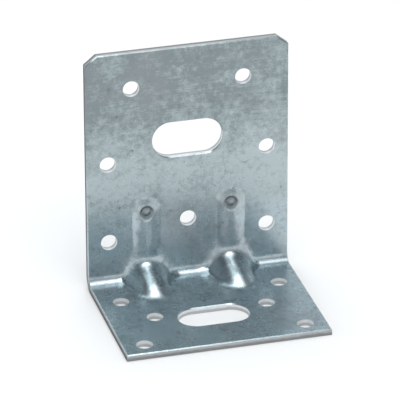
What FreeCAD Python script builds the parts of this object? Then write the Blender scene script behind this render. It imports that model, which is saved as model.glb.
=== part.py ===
import FreeCAD, Part
import math
import os
from FreeCAD import Vector

# Angle bracket folded from one galvanised sheet, with two stiffening ribs pressed across the fold.
# It stands on its base: x runs across, y towards the back face of the tall leg, z up, and the
# origin is under the middle of its box. In the section, "out" is the distance in front of the
# leg's back face and "up" the height above the underside of the base.

# Sheet and outline
width = 62.0
leg_height = 76.2
base_depth = 48.8
sheet = 2.0
bend_radius = 2.5
corner_width = 3.6
corner_drop = 2.9
edge_break = 0.3

# Nail holes and bolt slots
nail_hole = 5.0
slot_length = 21.6
slot_width = 11.2
close_pitch = 34.2
wide_pitch = 48.8
top_row_drop = 11.7
leg_slot_drop = 29.7
middle_row_drop = 35.5
low_row_height = 15.1
centre_hole_height = 20.0
rear_row_reach = 15.7
second_row_reach = 27.6
base_slot_reach = 30.9
front_row_inset = 5.3

# Pressed ribs: a bead up the leg, a hollow knee over the fold and a ramp down to a rounded nose
rib_pitch = 26.0
rib_height = 1.5
rib_top = 24.1
rib_knee = 9.9
knee_radius = 3.0
ramp_angle = 20.0
nose_rise = 2.0
crest_radius = 6.5
flank_angle = 50.0
foot_radius = 1.8
dimple_diameter = 5.2
dimple_depth = 0.8
groove_diameter = 2.8
pip_height = 0.5

# Spare material for pressing, trimming and cutting, and how closely faces are compared
spare = 1.0
stock_depth = 12.0
touch = 0.0001
sharp_turn = 0.1

across = Vector(1, 0, 0)
outward = Vector(0, -1, 0)
upward = Vector(0, 0, 1)
heel = base_depth / 2
fold_edge = sheet + bend_radius
flank = math.radians(flank_angle)
ramp = math.radians(ramp_angle)
ramp_normal = outward * math.sin(ramp) + upward * math.cos(ramp)
ramp_line = outward * math.cos(ramp) - upward * math.sin(ramp)
bracket_box = FreeCAD.BoundBox(-width / 2, -heel, 0, width / 2, heel, leg_height)


def place(side, out, up):
    """Point of the bracket from its distance across, in front of the back face and above the underside."""
    return Vector(side, heel - out, up)


def lines_through(points):
    return [Part.LineSegment(start, end).toShape() for start, end in zip(points, points[1:])]


def folded_stock():
    """Thick stock behind the plain folded skin, a little larger than the sheet's outline."""
    side = -width / 2 - spare
    reach = base_depth + spare
    top = leg_height + spare
    fold_middle = fold_edge - bend_radius * math.sqrt(0.5)
    outline = [
        place(side, sheet, fold_edge),
        place(side, sheet, top),
        place(side, -stock_depth, top),
        place(side, -stock_depth, -stock_depth),
        place(side, reach, -stock_depth),
        place(side, reach, sheet),
        place(side, fold_edge, sheet),
    ]
    fold = Part.Arc(outline[-1], place(side, fold_middle, fold_middle), outline[0])
    section = Part.Face(Part.Wire(lines_through(outline) + [fold.toShape()]))
    return section.extrude(across * (width + 2 * spare))


def rib_profile():
    """Profile of a rib about its spine, lying across x with its round crest at the origin."""
    floor = spare - stock_depth
    crown_side = crest_radius * math.sin(flank)
    crown_drop = crest_radius * (math.cos(flank) - 1)
    flank_side = crown_side + (crown_drop - floor) / math.tan(flank)
    corners = [
        Vector(crown_side, 0, crown_drop),
        Vector(flank_side, 0, floor),
        Vector(-flank_side, 0, floor),
        Vector(-crown_side, 0, crown_drop),
    ]
    crown = Part.Arc(corners[-1], Vector(), corners[0])
    return Part.Face(Part.Wire(lines_through(corners) + [crown.toShape()]))


def rib_end():
    """Ball that rounds off an end of the profile, its poles to the sides and its seam at the bottom."""
    ball = Part.makeSphere(crest_radius)
    ball.rotate(Vector(), outward, -90)
    ball.translate(upward * -crest_radius)
    return ball


def on_crest(form, tilt, spot):
    """A form stood on the crest at a spot, its height pointing out of the leg and tilted upwards."""
    stood = form.copy()
    stood.rotate(Vector(), across, 90 - tilt)
    stood.translate(spot)
    return stood


def rib(middle):
    """One rib in stock: its profile up the leg, round the knee and down the ramp, between two balls."""
    profile = rib_profile()
    ball = rib_end()
    crest = sheet + rib_height
    top = place(middle, crest, rib_top)
    knee = place(middle, crest, rib_knee)
    knee_centre = knee + outward * knee_radius
    ramp_start = knee_centre - ramp_normal * knee_radius
    nose = ramp_start + ramp_line * ((ramp_start.z - sheet - nose_rise) / math.sin(ramp))
    swing = 90 - ramp_angle
    return [
        on_crest(ball, 0, top),
        on_crest(profile, 0, knee).extrude(top - knee),
        on_crest(profile, 0, knee).revolve(knee_centre, across, -swing),
        on_crest(profile, swing, ramp_start).extrude(nose - ramp_start),
        on_crest(ball, swing, nose),
    ]


def on_plain_front(point):
    """Whether a point lies on the front of the plain folded sheet."""
    out = heel - point.y
    if point.z > fold_edge:
        return abs(out - sheet) < touch
    if out > fold_edge:
        return abs(point.z - sheet) < touch
    return abs(math.hypot(fold_edge - out, fold_edge - point.z) - bend_radius) < touch


def sharp_front_edges(body):
    """Edges of the plain front at which two faces meet in a corner."""
    found = []
    for edge in body.Edges:
        middle = edge.valueAt(sum(edge.ParameterRange) / 2)
        if not on_plain_front(middle):
            continue
        faces = body.ancestorsOfType(edge, Part.Face)
        normals = [face.normalAt(*face.Surface.parameter(middle)) for face in faces]
        if normals[0].getAngle(normals[-1]) > sharp_turn:
            found.append(edge)
    return found


def pressed_skin():
    """Front skin of the folded sheet with both ribs pressed in and their feet rounded."""
    ribs = rib(-rib_pitch / 2) + rib(rib_pitch / 2)
    stock = folded_stock().multiFuse(ribs).removeSplitter()
    feet = [edge for edge in sharp_front_edges(stock) if bracket_box.isInside(edge.CenterOfMass)]
    stock = stock.makeFillet(foot_radius, feet)
    return Part.Shell([face for face in stock.Faces if bracket_box.isInside(face.CenterOfMass)])


def outline_block():
    """Block as high, wide and deep as the bracket, with the leg's top corners cut off."""
    half = width / 2
    shoulder = half - corner_width
    neck = leg_height - corner_drop
    corners = [(-half, 0), (half, 0), (half, neck), (shoulder, leg_height), (-shoulder, leg_height), (-half, neck)]
    points = [place(side, base_depth, up) for side, up in corners]
    return Part.Face(Part.Wire(lines_through(points + points[:1]))).extrude(-outward * base_depth)


def punch(outline, direction):
    """Solid that cuts an outline, held a little in front of the sheet, right through it."""
    return Part.Face(outline).extrude(direction * -(sheet + 2 * spare))


def hole(centre, direction):
    circle = Part.Circle(centre, direction, nail_hole / 2)
    return punch(Part.Wire(circle.toShape()), direction)


def hole_pair(pitch, centre, direction):
    return [hole(centre + across * side, direction) for side in (-pitch / 2, pitch / 2)]


def slot(centre, direction):
    """Round-ended slot across the bracket."""
    radius = slot_width / 2
    rise = direction.cross(across) * radius
    right = centre + across * (slot_length / 2 - radius)
    left = centre - across * (slot_length / 2 - radius)
    outline = [
        Part.LineSegment(left + rise, right + rise),
        Part.Arc(right + rise, right + across * radius, right - rise),
        Part.LineSegment(right - rise, left - rise),
        Part.Arc(left - rise, left - across * radius, left + rise),
    ]
    return punch(Part.Wire([curve.toShape() for curve in outline]), direction)


def dimple(middle):
    """Tool that presses a dimple into a rib's top end: a cone, less a ball for the pip in its middle."""
    crest = place(middle, sheet + rib_height, rib_top)
    groove = groove_diameter / 2
    flare = (dimple_diameter / 2 - groove) / dimple_depth
    tip_depth = dimple_diameter / 2 / flare
    height = tip_depth + spare
    cone = Part.makeCone(0, flare * height, height, crest - outward * tip_depth, outward)
    pip_radius = (groove**2 + pip_height**2) / (2 * pip_height)
    pip_top = crest - outward * (dimple_depth - pip_height)
    return cone.cut(Part.makeSphere(pip_radius, pip_top - outward * pip_radius))


def slots():
    """Bolt slots of the leg and the base."""
    front = sheet + spare
    return [
        slot(place(0, front, leg_height - leg_slot_drop), outward),
        slot(place(0, base_slot_reach, front), upward),
    ]


def nail_holes():
    """Nail holes of the leg and then of the base."""
    front = sheet + spare
    tools = [hole(place(0, front, centre_hole_height), outward)]
    tools += hole_pair(close_pitch, place(0, front, leg_height - top_row_drop), outward)
    tools += hole_pair(wide_pitch, place(0, front, leg_height - middle_row_drop), outward)
    tools += hole_pair(wide_pitch, place(0, front, low_row_height), outward)
    tools += hole_pair(wide_pitch, place(0, rear_row_reach, front), upward)
    tools += hole_pair(close_pitch, place(0, second_row_reach, front), upward)
    tools += hole_pair(wide_pitch, place(0, base_depth - front_row_inset, front), upward)
    return tools


def main():
    sheet_metal = pressed_skin().makeOffsetShape(-sheet, touch, fill=True)
    bracket = sheet_metal.common(outline_block()).cut(slots())
    bracket = bracket.makeChamfer(edge_break, sharp_front_edges(bracket))
    dimples = [dimple(-rib_pitch / 2), dimple(rib_pitch / 2)]
    bracket = bracket.cut(nail_holes() + dimples)
    os.makedirs("parts", exist_ok=True)
    bracket.Solids[0].exportStep("parts/angle_bracket.step")


main()
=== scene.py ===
import math

import bmesh
import bpy
from bpy.props import FloatProperty, FloatVectorProperty, IntProperty, PointerProperty
from mathutils import Matrix, Quaternion, Vector


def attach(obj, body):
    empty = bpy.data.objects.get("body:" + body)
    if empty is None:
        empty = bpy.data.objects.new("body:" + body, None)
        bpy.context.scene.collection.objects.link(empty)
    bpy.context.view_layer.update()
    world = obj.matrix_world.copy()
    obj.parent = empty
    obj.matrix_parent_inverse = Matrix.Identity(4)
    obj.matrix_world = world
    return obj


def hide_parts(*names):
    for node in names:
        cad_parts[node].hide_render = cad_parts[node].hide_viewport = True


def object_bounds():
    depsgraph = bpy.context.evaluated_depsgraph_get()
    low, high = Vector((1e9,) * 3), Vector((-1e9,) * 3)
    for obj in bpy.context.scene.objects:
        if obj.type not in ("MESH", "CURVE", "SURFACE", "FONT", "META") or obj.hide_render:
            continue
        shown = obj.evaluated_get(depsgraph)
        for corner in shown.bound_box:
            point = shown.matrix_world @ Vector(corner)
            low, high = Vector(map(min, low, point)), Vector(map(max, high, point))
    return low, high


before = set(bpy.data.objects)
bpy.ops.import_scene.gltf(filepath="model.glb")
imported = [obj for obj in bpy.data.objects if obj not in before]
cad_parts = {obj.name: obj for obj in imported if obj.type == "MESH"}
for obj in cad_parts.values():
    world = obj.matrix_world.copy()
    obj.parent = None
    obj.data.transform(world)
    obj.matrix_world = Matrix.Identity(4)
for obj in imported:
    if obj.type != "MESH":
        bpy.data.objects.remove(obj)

bl_info = {
    "name": "Angle Bracket",
    "version": (1, 0, 0),
    "blender": (4, 5, 0),
    "location": "View3D > Sidebar > Bracket",
    "description": "Dresses the folded angle bracket in galvanised steel and sets it on a plain studio floor",
    "category": "Object",
}

NODE = "angle_bracket"
PIECE = "bracket_sheet"
SLOT = "galvanised_steel"
CAD_LOW, CAD_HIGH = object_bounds()
MM = 0.001

# Mesh: how near corners are merged, how short edges are dropped before and after the pressed zones are
# refined, how often an edge there is halved, how far one pass smooths, and the turn of a sharp edge
MERGE_DISTANCE = 0.002 * MM
SLIVER = 0.001 * MM
REFINED_SLIVER = 0.01 * MM
HALVINGS = 6
SMOOTHING = 0.5
SHARP_TURN = math.radians(30)

# Cut walls: their face attributes, their polish by place, and how far one may lean from square to the sheet
CUT_WALL = "cut_wall"
WALL_POLISH = "wall_polish"
SIDE_POLISH = 0
END_POLISH = 0.5
HOLE_POLISH = 1
LEAN = 0.1

# Random patterns run from 0 to 1: their middle, their roughness, and the values between which a mark fades in
MIDDLE = 0.5
NOISE_ROUGHNESS = 0.65
CLOUD_EDGE = (0.38, 0.62)
GREY_EDGE = (0.48, 0.66)
SMUDGE_EDGE = (0.58, 0.78)
SPECK_EDGE = (0.15, 0.07)
SPECK_CHANCE = (0.6, 0.9)

# Rolling lines run across the bracket, so their pattern is stretched that way
LINE_STRETCH = (0.03, 1, 1)

# Shares of the zinc's patterns in its dullness and in the painted shade high up the leg, in its dark stains
# and the painted shade of the dimples, in its roughness and in its relief
DULLNESS_AND_SHADE = {
    "shaded": 0.72, "clouds": 0.2, "blotches": 1.8, "mottle": 1.7, "grain": 1.0, "spangle": 0.2,
    "lines": 0.4, "shaded_lines": 0.8,
}
# The specks and smudges are stains; the dimples' share is painted shade
MARKS_AND_DIMPLE_SHADE = {"specks": 0.5, "smudges": 0.35, "dimples": 0.6}
ROUGHNESS = {"shaded": 0.06, "clouds": 0.04, "marks_and_dimple_shade": 0.2, "mottle": 0.1, "cut": 0.3}
RELIEF = {"lines": 0.6, "mottle": 0.8, "spangle": 0.2, "specks": -0.5}
GREY_SHARE = 0.35

# Dimples: painted shade in each dimple, how far from the back face it sets in, and the share of it left on
# the pip, which so stays paler
FRONT_EDGE = (1.9 * MM, 2.4 * MM)
PIP_SHADE = 0.35

# Colour of a cut wall: how ragged the break is, where in the sheet's thickness it turns into the rubbed part,
# the shares of rubbing and polish in its brightness, and the brightness of the burnished colour
WALL_RAGGED = 0.4
RUBBED_EDGE = (0.35, 0.6)
RUBBED_SHARE = 0.3
POLISH_SHARE = 0.7
BURNISH_STOP = 0.6

# Studio: sides of the round screen, the shares of its height between which it darkens, and the camera's
# sensor in millimetres
SCREEN_SEGMENTS = 64
SCREEN_FADE = (0.25, 0.6)
SENSOR_WIDTH = 36

# A Mix node's colour sockets share their names with others, so they go by place
MIX_LOW, MIX_HIGH, MIX_COLOUR = 6, 7, 2


class Wire:
    """A socket of a node tree; arithmetic on wires and numbers adds Math nodes."""

    def __init__(self, tree, socket=None):
        self.tree = tree
        self.socket = socket

    def node(self, kind, settings=None, inputs=None, output=0):
        """Add a node of any type: its settings first, then the values or wires of its sockets."""
        made = self.tree.nodes.new(kind)
        for name, value in (settings or {}).items():
            if name == "stops":
                self.set_stops(made.color_ramp, value)
            else:
                setattr(made, name, value)
        for name, value in (inputs or {}).items():
            if isinstance(value, Wire):
                self.tree.links.new(value.socket, made.inputs[name])
            else:
                made.inputs[name].default_value = value
        return Wire(self.tree, made.outputs[output] if made.outputs else None)

    @staticmethod
    def set_stops(ramp, stops):
        for spare in list(ramp.elements)[1:]:
            ramp.elements.remove(spare)
        ramp.elements[0].position, ramp.elements[0].color = stops[0]
        for place, colour in stops[1:]:
            ramp.elements.new(place).color = colour

    def output(self, name):
        """Another output of the same node."""
        return Wire(self.tree, self.socket.node.outputs[name])

    def math(self, operation, *values):
        return self.node("ShaderNodeMath", {"operation": operation}, dict(enumerate(values)))

    def __add__(self, other):
        return self.math("ADD", self, other)

    def __radd__(self, other):
        return self.math("ADD", other, self)

    def __sub__(self, other):
        return self.math("SUBTRACT", self, other)

    def __rsub__(self, other):
        return self.math("SUBTRACT", other, self)

    def __mul__(self, other):
        return self.math("MULTIPLY", self, other)

    def __rmul__(self, other):
        return self.math("MULTIPLY", other, self)

    def lower(self, other):
        return self.math("MINIMUM", self, other)

    def higher(self, other):
        return self.math("MAXIMUM", self, other)

    def step(self, low, high):
        """Smooth rise from 0 to 1 as this value goes from low to high."""
        return self.node(
            "ShaderNodeMapRange",
            {"interpolation_type": "SMOOTHSTEP"},
            {"Value": self, "From Min": low, "From Max": high},
        )

    def mix(self, low, high):
        """Colour from low to high as this value goes from 0 to 1."""
        ends = [end if isinstance(end, Wire) else (*end, 1) for end in (low, high)]
        return self.node(
            "ShaderNodeMix",
            {"data_type": "RGBA", "clamp_factor": True},
            {"Factor": self, MIX_LOW: ends[0], MIX_HIGH: ends[1]},
            output=MIX_COLOUR,
        )

    def red(self):
        """The red of this colour, as a number."""
        return self.node("ShaderNodeSeparateColor", inputs={"Color": self}, output="Red")

    def parts(self):
        """The x, y and z of this vector."""
        split = self.node("ShaderNodeSeparateXYZ", inputs={"Vector": self})
        return [split.output(axis) for axis in "XYZ"]

    def scaled(self, scale):
        """This vector with each axis scaled by itself."""
        return self.node("ShaderNodeVectorMath", {"operation": "MULTIPLY"}, {0: self, 1: scale})

    def noise(self, size, detail):
        """Soft random patches of a given size."""
        return self.node(
            "ShaderNodeTexNoise",
            inputs={"Vector": self, "Scale": 1 / size, "Detail": detail, "Roughness": NOISE_ROUGHNESS},
        )

    def cells(self, size, output):
        """Random cells of a given size with wavy borders."""
        wave = self.noise(size / 2, detail=2).output("Color")
        wavy = self.node(
            "ShaderNodeVectorMath",
            {"operation": "MULTIPLY_ADD"},
            {0: wave, 1: (size / 2,) * 3, 2: self},
        )
        return self.node("ShaderNodeTexVoronoi", inputs={"Vector": wavy, "Scale": 1 / size}, output=output)


def colour_property(name, description, default):
    return FloatVectorProperty(
        name=name, description=description, subtype="COLOR", size=3, default=default, min=0, max=1)


def length_property(name, description, default):
    return FloatProperty(
        name=name, description=description, subtype="DISTANCE", unit="LENGTH", default=default, precision=5)


def angle_property(name, description, degrees):
    return FloatProperty(name=name, description=description, subtype="ANGLE", default=math.radians(degrees))


def share_property(name, description, default):
    return FloatProperty(name=name, description=description, subtype="FACTOR", default=default, min=0, max=1)


def count_property(name, description, default):
    return IntProperty(name=name, description=description, default=default, min=0)


class BracketPress(bpy.types.PropertyGroup):
    """Zones in which the press left the sheet rounded, and how they are smoothed"""

    side: length_property("Side", "Half the width of the pressed zone round both ribs", 21.5 * MM)
    height: length_property("Height", "Height of the pressed zone up the leg", 21 * MM)
    reach: length_property("Reach", "Reach of the pressed zone along the base", 23 * MM)
    panel_side: length_property("Panel side", "Half the width of the flat panel between the ribs", 4.5 * MM)
    panel_height: length_property("Panel height", "Height of the pressed zone between the ribs", 14 * MM)
    border: length_property("Border", "Width over which the rounding fades out", 4 * MM)
    facet: length_property("Facet", "Length above which an edge in the pressed zones is halved", 0.6 * MM)
    passes: count_property("Passes", "How often the pressed zone is smoothed", 36)
    dimple_side: length_property("Dimple side", "Distance of each dimple from the middle", 13 * MM)
    dimple_height: length_property("Dimple height", "Height of the dimples", 24.1 * MM)
    dimple_zone: length_property("Dimple zone", "Radius of the zone round a dimple", 3.6 * MM)
    dimple_passes: count_property("Dimple passes", "How often a dimple is smoothed", 1)


class BracketFinish(bpy.types.PropertyGroup):
    """Colours and patterns of the galvanised steel"""

    zinc: colour_property("Zinc", "Colour of the bright zinc", (0.455, 0.525, 0.54))
    # Painted reflection: the bluer, lighter zinc low down stands in for the bluish surround reflected near
    # the fold and on the base
    reflected_blue_zinc: colour_property("Blue zinc", "Colour of the bluer zinc low down", (0.47, 0.555, 0.59))
    dull_and_shaded_zinc: colour_property("Dull zinc", "Colour of the dullest zinc", (0.25, 0.295, 0.305))
    grey_zinc: colour_property("Grey zinc", "Colour of the greyest patches", (0.33, 0.345, 0.365))
    # Specks and smudges are stains; the same colour paints shade into the dimples
    stain_and_dimple_shade: colour_property("Stain", "Colour of specks, smudges and dimples", (0.1, 0.11, 0.12))
    fracture: colour_property("Fracture", "Colour of a cut wall where the sheet broke", (0.1, 0.105, 0.11))
    burnish: colour_property("Burnish", "Colour of a cut wall where the blade rubbed it", (0.42, 0.43, 0.43))
    polish: colour_property("Polish", "Colour of a hole's wall where the punch rubbed it", (0.82, 0.84, 0.85))
    roughness: share_property("Roughness", "Roughness of the bright zinc", 0.25)
    relief: share_property("Relief", "Strength of the zinc's fine relief", 0.1)
    relief_depth: length_property("Relief depth", "Depth of the zinc's fine relief", 0.05 * MM)
    sheet: length_property("Sheet", "Thickness of the sheet", 2 * MM)
    spangle_size: length_property("Spangle size", "Width of one zinc crystal", 1.8 * MM)
    mottle_size: length_property("Mottle size", "Width of one fleck of the zinc", 1.6 * MM)
    grain_size: length_property("Grain size", "Width of one grain of the zinc", 0.53333 * MM)
    cloud_size: length_property("Cloud size", "Width of one cloud of dull zinc", 15 * MM)
    blotch_size: length_property("Blotch size", "Width of one blotch within a cloud", 5 * MM)
    smudge_size: length_property("Smudge size", "Width of one smudge", 3.75 * MM)
    grey_size: length_property("Grey size", "Width of one of the greyest patches", 30 * MM)
    line_pitch: length_property("Rolling line pitch", "Distance between rolling lines", 0.4 * MM)
    speck_spacing: length_property("Speck spacing", "Distance between neighbouring specks", 4 * MM)
    # Painted shade: between these heights the zinc darkens going up the leg, for the dimmer surround that it
    # reflects there
    shaded_low: length_property("Brushed from", "Height at which the brushed zinc sets in", 34 * MM)
    shaded_high: length_property("Brushed to", "Height above which all zinc is brushed", 62 * MM)
    # Painted reflection: going down between these heights the zinc turns bluer
    reflected_blue_low: length_property("Blue to", "Height below which all zinc is bluer", 16 * MM)
    reflected_blue_high: length_property("Blue from", "Height at which the bluer zinc sets in", 28 * MM)
    # Painted shade in the dimples: darkest out to one radius, fading out by another, paler on the pip in the
    # middle
    pip_middle: length_property("Pip middle", "Radius within which a dimple's pip is palest", 0.3 * MM)
    pip_edge: length_property("Pip edge", "Radius at which a dimple's pip ends", 1.3 * MM)
    shade_full: length_property("Tone full", "Radius up to which a dimple is darkest", 1.8 * MM)
    shade_end: length_property("Tone end", "Radius at which a dimple's dark tone ends", 2.6 * MM)


class StudioSettings(bpy.types.PropertyGroup):
    """Camera, floor, screen and light"""

    azimuth: angle_property("Azimuth", "Camera's turn about the bracket from straight in front", -15.136)
    elevation: angle_property("Elevation", "Camera's height above the horizon", 26.201)
    roll: angle_property("Roll", "Camera's turn about its own view", -0.233)
    distance: length_property("Distance", "Camera to the point that it looks at", 1.3034)
    lens: FloatProperty(name="Lens", description="Camera's focal length in millimetres", default=400.96)
    aim: FloatVectorProperty(
        name="Aim", description="Point that the camera looks at", subtype="TRANSLATION", unit="LENGTH",
        size=3, default=(-2.33 * MM, 0.05 * MM, 36.89 * MM))
    floor_colour: colour_property("Floor", "Colour of the floor", (0.9, 0.9, 0.9))
    floor_size: length_property("Floor size", "Width and depth of the floor", 8.0)
    screen_foot: colour_property("Screen foot", "Colour of the round screen at its foot", (0.86, 0.94, 0.99))
    # Painted shade: the screen's dark top stands in for an unlit surround
    screen_top: colour_property("Screen top", "Colour of the round screen at its top", (0.3, 0.32, 0.34))
    screen_radius: length_property("Screen radius", "Radius of the screen at its foot", 1.6)
    screen_opening: length_property("Screen opening", "Radius of the screen's opening at its top", 0.8)
    screen_low: length_property("Screen low edge", "Height of the screen's lower edge", 0.55)
    screen_high: length_property("Screen high edge", "Height of the screen's upper edge", 1.7)
    ambient: FloatProperty(
        name="Ambient", description="Strength of the light from all round", default=1.0, min=0)
    softbox_width: length_property("Softbox width", "Width of the lamp overhead", 0.4)
    softbox_depth: length_property("Softbox depth", "Depth of the lamp overhead", 1.4)
    softbox_height: length_property("Softbox height", "Height of the lamp overhead", 0.8)
    softbox_power: FloatProperty(
        name="Softbox power", description="Power of the lamp overhead", subtype="POWER", unit="POWER",
        default=5.8)


def cleared_tree(owner):
    """Start of an empty node tree on a material or a world."""
    owner.use_nodes = True
    owner.node_tree.nodes.clear()
    return Wire(owner.node_tree)


def add_object(context, name, data):
    added = bpy.data.objects.new(name, data)
    context.scene.collection.objects.link(added)
    return added


def weighed(shares, patterns):
    """Sum of the named patterns, each times its share."""
    return sum(patterns[name] * share for name, share in shares.items())


def zinc_patterns(place, finish):
    """Patterns of the zinc by name; those that lighten as well as darken have their middle at 0."""
    height = place.parts()[-1]
    # Painted shade: the zinc darkens going up the leg, for the dimmer surround it reflects there; the same
    # ramp also raises the roughness and strengthens the rolling lines in the colour
    shaded = height.step(finish.shaded_low, finish.shaded_high)
    lines = place.scaled(LINE_STRETCH).noise(finish.line_pitch, detail=3) - MIDDLE
    spots = place.cells(finish.speck_spacing, "Distance")
    chance = spots.output("Color").red()
    return {
        "spangle": place.cells(finish.spangle_size, "Color").red() - MIDDLE,
        "clouds": place.noise(finish.cloud_size, detail=4).step(*CLOUD_EDGE),
        "blotches": place.noise(finish.blotch_size, detail=3) - MIDDLE,
        "mottle": place.noise(finish.mottle_size, detail=4) - MIDDLE,
        "grain": place.noise(finish.grain_size, detail=2) - MIDDLE,
        "lines": lines,
        "shaded": shaded,
        "shaded_lines": shaded * lines,
        "specks": spots.step(*SPECK_EDGE) * chance.step(*SPECK_CHANCE),
        "smudges": place.noise(finish.smudge_size, detail=3).step(*SMUDGE_EDGE),
    }


def painted_dimple_shade(place, finish, press):
    """Painted shade in the dimples, paler on the pip in their middle, on the front of the sheet only."""
    across, depth, height = place.parts()
    aside = place.math("ABSOLUTE", across) - press.dimple_side
    above = height - press.dimple_height
    radius = place.math("SQRT", aside * aside + above * above)
    front = (CAD_HIGH.y - depth).step(*FRONT_EDGE)
    painted_shade = radius.step(finish.shade_end, finish.shade_full)
    groove = radius.step(finish.pip_middle, finish.pip_edge)
    return front * painted_shade * (PIP_SHADE + groove * (1 - PIP_SHADE))


def zinc_colour(place, patterns, finish):
    """Colour of the zinc: bluer low down as a painted reflection, duller by its patterns and darker high up
    the leg as painted shade, with greyer patches, dark stains and painted shade in the dimples.
    """
    height = place.parts()[-1]
    # Painted reflection: bluer and lighter low down
    bright = height.step(finish.reflected_blue_high, finish.reflected_blue_low).mix(finish.zinc, finish.reflected_blue_zinc)
    zinc = weighed(DULLNESS_AND_SHADE, patterns).mix(bright, finish.dull_and_shaded_zinc)
    patches = place.noise(finish.grey_size, detail=2).step(*GREY_EDGE) * GREY_SHARE
    return patterns["marks_and_dimple_shade"].mix(patches.mix(zinc, finish.grey_zinc), finish.stain_and_dimple_shade)


def wall_colour(place, patterns, finish):
    """Colour of a cut wall: broken towards the back, rubbed towards the front, brightest in a hole."""
    polish = place.node("ShaderNodeAttribute", {"attribute_name": WALL_POLISH}, output="Fac")
    depth, height = place.parts()[1:]
    from_back = (CAD_HIGH.y - depth).lower(height) * (1 / finish.sheet)
    rubbed = (from_back + patterns["mottle"] * WALL_RAGGED).step(*RUBBED_EDGE)
    walls = [(0, finish.fracture), (BURNISH_STOP, finish.burnish), (1, finish.polish)]
    return place.node(
        "ShaderNodeValToRGB",
        {"stops": [(stop, (*colour, 1)) for stop, colour in walls]},
        {"Fac": rubbed * RUBBED_SHARE + polish * POLISH_SHARE},
    )


def galvanised_steel(finish, press):
    """Zinc-coated sheet: spangle, mottled clouds, rolling lines, small stains and bare cut walls, with
    painted shade in the dimples and high up the leg, and a painted bluish reflection low down.
    """
    material = bpy.data.materials.new(SLOT)
    start = cleared_tree(material)
    place = start.node("ShaderNodeTexCoord", output="Object")
    cut = start.node("ShaderNodeAttribute", {"attribute_name": CUT_WALL}, output="Fac")
    patterns = zinc_patterns(place, finish)
    # Painted shade in the dimples, mixed in with the stains
    patterns["dimples"] = painted_dimple_shade(place, finish, press)
    patterns["marks_and_dimple_shade"] = weighed(MARKS_AND_DIMPLE_SHADE, patterns)
    patterns["cut"] = cut
    zinc = zinc_colour(place, patterns, finish)
    bare = wall_colour(place, patterns, finish)
    bump = start.node(
        "ShaderNodeBump",
        inputs={
            "Strength": finish.relief,
            "Distance": finish.relief_depth,
            "Height": weighed(RELIEF, patterns),
        },
    )
    shader = start.node(
        "ShaderNodeBsdfPrincipled",
        inputs={
            "Base Color": cut.mix(zinc, bare),
            "Roughness": finish.roughness + weighed(ROUGHNESS, patterns),
            "Normal": bump,
            "Metallic": 1.0,
        },
    )
    start.node("ShaderNodeOutputMaterial", inputs={"Surface": shader})
    return material


def inside_press(spot, press):
    """How far a point lies inside the pressed zone of the ribs and the fold."""
    side = abs(spot.x)
    slope = (side - press.panel_side) / press.border
    height = press.panel_height + (press.height - press.panel_height) * min(max(slope, 0), 1)
    return min(press.side - side, press.reach - (CAD_HIGH.y - spot.y), height - spot.z)


def inside_dimple(spot, press):
    """How far a point lies inside the zone of the nearer dimple."""
    return press.dimple_zone - math.hypot(abs(spot.x) - press.dimple_side, spot.z - press.dimple_height)


def refine(form, press):
    """Halve the long edges in the pressed zones, so that the mesh is even enough to be smoothed."""
    def is_coarse(edge):
        if edge.calc_length() < press.facet:
            return False
        ends = [corner.co for corner in edge.verts]
        spots = [*ends, (ends[0] + ends[1]) / 2]
        return any(max(inside_press(spot, press), inside_dimple(spot, press)) > 0 for spot in spots)

    for _ in range(HALVINGS):
        bmesh.ops.subdivide_edges(form, edges=[edge for edge in form.edges if is_coarse(edge)], cuts=1)
        divide_into_triangles(form)
    bmesh.ops.dissolve_degenerate(form, edges=form.edges, dist=REFINED_SLIVER)
    divide_into_triangles(form)


def divide_into_triangles(form):
    bmesh.ops.triangulate(form, faces=[face for face in form.faces if len(face.verts) > 3])


def soften(form, press):
    """Round the ribs, the fold and the dimples as a press leaves them, less towards the zone's border."""
    depths = [(inside_press(corner.co, press), corner) for corner in form.verts]
    for turn in range(press.passes):
        floor = press.border * turn / press.passes
        smooth_corners(form, [corner for depth, corner in depths if depth > floor])
    dimples = [corner for corner in form.verts if inside_dimple(corner.co, press) > 0]
    for _ in range(press.dimple_passes):
        smooth_corners(form, dimples)


def smooth_corners(form, corners):
    bmesh.ops.smooth_vert(
        form, verts=corners, factor=SMOOTHING, use_axis_x=True, use_axis_y=True, use_axis_z=True)


def pressed_sheet(press):
    """Merged copy of the solid's mesh, refined and softened where the sheet was pressed."""
    form = bmesh.new()
    form.from_mesh(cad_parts[NODE].data)
    bmesh.ops.remove_doubles(form, verts=form.verts, dist=MERGE_DISTANCE)
    bmesh.ops.dissolve_degenerate(form, edges=form.edges, dist=SLIVER)
    refine(form, press)
    soften(form, press)
    form.normal_update()
    return form


def polish_of(face, sheet):
    """Polish of a cut wall: on the sheet's sides, at its ends or in a hole; nothing on any other face."""
    spot, normal = face.calc_center_median(), face.normal
    touch = sheet / 100
    if CAD_HIGH.x - abs(spot.x) < touch:
        return SIDE_POLISH
    on_base = spot.z < sheet and abs(normal.z) < LEAN
    on_leg = CAD_HIGH.y - spot.y < sheet and abs(normal.y) < LEAN
    if not on_base and not on_leg:
        return None
    margin = min(CAD_HIGH.x - abs(spot.x), spot.y - CAD_LOW.y, CAD_HIGH.z - spot.z)
    return END_POLISH if margin < sheet else HOLE_POLISH


def mark_faces(form, sheet):
    """Mark the cut walls for the material, and shade all faces smooth up to the sharp edges."""
    cut_wall = form.faces.layers.float.new(CUT_WALL)
    wall_polish = form.faces.layers.float.new(WALL_POLISH)
    for face in form.faces:
        face.smooth = True
        polish = polish_of(face, sheet)
        face[cut_wall] = float(polish is not None)
        face[wall_polish] = float(polish or 0)
    for edge in form.edges:
        edge.smooth = edge.calc_face_angle(math.pi) < SHARP_TURN


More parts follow.
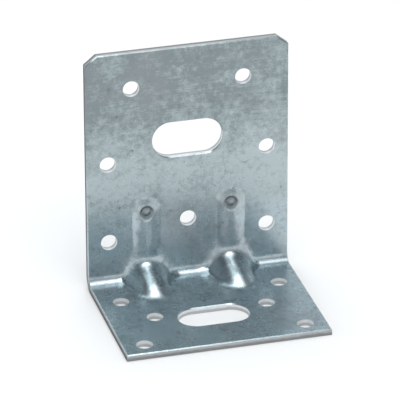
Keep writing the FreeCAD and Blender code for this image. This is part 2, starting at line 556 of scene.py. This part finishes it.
class BRACKET_OT_sheet(bpy.types.Operator):
    """Dress the sheet in galvanised steel: a merged copy of the solid, softened where it was pressed"""

    bl_idname = "bracket.sheet"
    bl_label = "Folded sheet"

    def execute(self, context):
        finish = context.scene.bracket_finish
        press = context.scene.bracket_press
        form = pressed_sheet(press)
        mark_faces(form, finish.sheet)
        mesh = bpy.data.meshes.new(PIECE)
        form.to_mesh(mesh)
        form.free()
        mesh.materials.append(galvanised_steel(finish, press))
        piece = add_object(context, PIECE, mesh)
        shading = piece.modifiers.new("even_normals", "WEIGHTED_NORMAL")
        shading.mode = "FACE_AREA_WITH_ANGLE"
        shading.keep_sharp = True
        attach(piece, "root")
        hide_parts(NODE)
        return {"FINISHED"}


class BRACKET_OT_studio(bpy.types.Operator):
    """Set up the pale floor, the soft light and the camera"""

    bl_idname = "bracket.studio"
    bl_label = "Studio"

    def execute(self, context):
        settings = context.scene.bracket_studio
        self.make_floor(context, settings)
        self.make_screen(context, settings)
        self.make_light(context, settings)
        self.make_camera(context, settings)
        context.scene.view_settings.view_transform = "Standard"
        return {"FINISHED"}

    def make_floor(self, context, settings):
        form = bmesh.new()
        bmesh.ops.create_grid(form, x_segments=1, y_segments=1, size=settings.floor_size / 2)
        self.add_stage(context, "pale_floor", form, lambda start: (*settings.floor_colour, 1))

    def make_screen(self, context, settings):
        """Round matt screen above the view of every camera, paler at its foot; its dark top is painted shade,
        a sheet standing in for the unlit surround that the zinc reflects.
        """
        rise = settings.screen_high - settings.screen_low
        form = bmesh.new()
        bmesh.ops.create_cone(
            form, segments=SCREEN_SEGMENTS, radius1=settings.screen_radius, radius2=settings.screen_opening,
            depth=rise, matrix=Matrix.Translation((0, 0, settings.screen_low + rise / 2)))

        # Painted shade: the screen darkens towards its top
        def shade(start):
            height = start.node("ShaderNodeTexCoord", output="Object").parts()[-1]
            low, high = [settings.screen_low + rise * share for share in SCREEN_FADE]
            return height.step(low, high).mix(settings.screen_foot, settings.screen_top)

        self.add_stage(context, "grey_screen", form, shade)

    def add_stage(self, context, name, form, shade):
        """Add a form to the stage with a matt material of the given shade."""
        mesh = bpy.data.meshes.new(name)
        form.to_mesh(mesh)
        form.free()
        material = bpy.data.materials.new(name)
        start = cleared_tree(material)
        shader = start.node("ShaderNodeBsdfDiffuse", inputs={"Color": shade(start)})
        start.node("ShaderNodeOutputMaterial", inputs={"Surface": shader})
        mesh.materials.append(material)
        piece = add_object(context, name, mesh)

    def make_light(self, context, settings):
        """Softbox overhead, and even light from all round."""
        lamp = bpy.data.lights.new("softbox", "AREA")
        lamp.shape = "RECTANGLE"
        lamp.size = settings.softbox_width
        lamp.size_y = settings.softbox_depth
        lamp.energy = settings.softbox_power
        softbox = add_object(context, "softbox", lamp)
        softbox.location = (0, 0, settings.softbox_height)
        world = bpy.data.worlds.new("studio")
        context.scene.world = world
        start = cleared_tree(world)
        camera_ray = start.node("ShaderNodeLightPath", output="Is Camera Ray")
        seen = camera_ray.higher(camera_ray.output("Is Glossy Ray"))
        seen = seen.higher(camera_ray.output("Is Transmission Ray"))
        strength = settings.ambient + seen * (1 - settings.ambient)
        light = start.node("ShaderNodeBackground", inputs={"Color": (1, 1, 1, 1), "Strength": strength})
        start.node("ShaderNodeOutputWorld", inputs={"Surface": light})

    def make_camera(self, context, settings):
        azimuth, elevation = settings.azimuth, settings.elevation
        back = Vector((
            math.sin(azimuth) * math.cos(elevation),
            -math.cos(azimuth) * math.cos(elevation),
            math.sin(elevation)))
        lens = bpy.data.cameras.new("camera")
        lens.lens = settings.lens
        lens.sensor_width = SENSOR_WIDTH
        camera = add_object(context, "camera", lens)
        camera.location = Vector(settings.aim) + back * settings.distance
        camera.rotation_mode = "QUATERNION"
        camera.rotation_quaternion = back.to_track_quat("Z", "Y") @ Quaternion((0, 0, 1), settings.roll)
        context.scene.camera = camera


class BRACKET_PT_panel(bpy.types.Panel):
    """Lists the steps that make the bracket and the studio, with their sizes and colours"""

    bl_label = "Angle Bracket"
    bl_idname = "BRACKET_PT_panel"
    bl_space_type = "VIEW_3D"
    bl_region_type = "UI"
    bl_category = "Bracket"

    def draw(self, context):
        scene = context.scene
        for step in OPERATORS:
            self.layout.operator(step.bl_idname)
        for group in (scene.bracket_press, scene.bracket_finish, scene.bracket_studio):
            column = self.layout.column()
            for name in group.__annotations__:
                column.prop(group, name)


OPERATORS = (BRACKET_OT_sheet, BRACKET_OT_studio)
CLASSES = (BracketPress, BracketFinish, StudioSettings, *OPERATORS, BRACKET_PT_panel)


def register():
    for kind in CLASSES:
        bpy.utils.register_class(kind)
    bpy.types.Scene.bracket_press = PointerProperty(type=BracketPress)
    bpy.types.Scene.bracket_finish = PointerProperty(type=BracketFinish)
    bpy.types.Scene.bracket_studio = PointerProperty(type=StudioSettings)


def unregister():
    del bpy.types.Scene.bracket_studio
    del bpy.types.Scene.bracket_finish
    del bpy.types.Scene.bracket_press
    for kind in reversed(CLASSES):
        bpy.utils.unregister_class(kind)


def main():
    register()
    bpy.ops.bracket.sheet()
    bpy.ops.bracket.studio()


if __name__ == "__main__":
    main()
